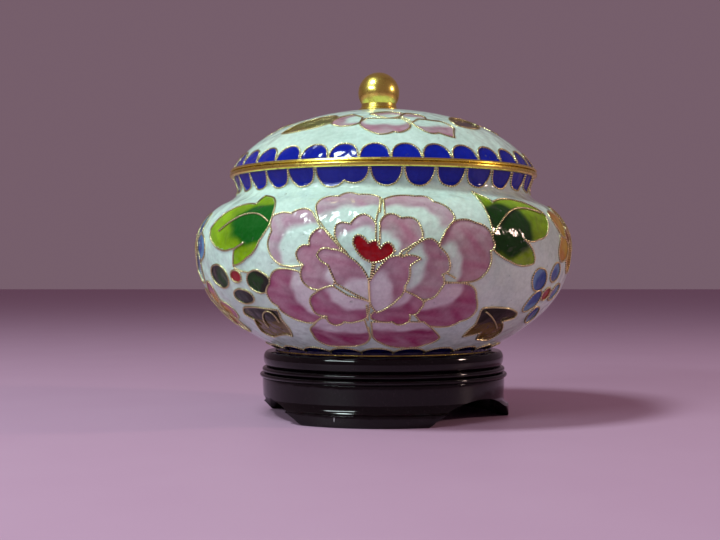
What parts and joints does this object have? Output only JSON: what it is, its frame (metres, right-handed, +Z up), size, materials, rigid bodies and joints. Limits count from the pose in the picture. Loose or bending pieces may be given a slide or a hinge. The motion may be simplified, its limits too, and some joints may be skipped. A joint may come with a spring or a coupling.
{
  "type": "cloisonne enamel box",
  "caption": "Round lidded cloisonne enamel box with peony ornament and a gilt ball knob, standing on a black lacquered footed stand.",
  "frame": {"origin": "centre of the stand's underside, on the floor, on the box's axis", "axes": "+Z up along the axis of the box, -Y towards the front of the picture side, +X to the right seen from the front"},
  "size_m": [0.112, 0.112, 0.1029],
  "materials": {
    "enamel": "glossy fired enamel between gilt wires",
    "gilt_metal": "bright gilt",
    "lacquered_wood": "gloss black lacquer"
  },
  "bodies": {
    "root": {"stand": "lacquered_wood", "foot_ring": "gilt_metal", "bowl": "enamel", "mouth_ring": "gilt_metal", "lid": "enamel", "lid_ring": "gilt_metal", "knob": "gilt_metal"}
  },
  "joints": []
}
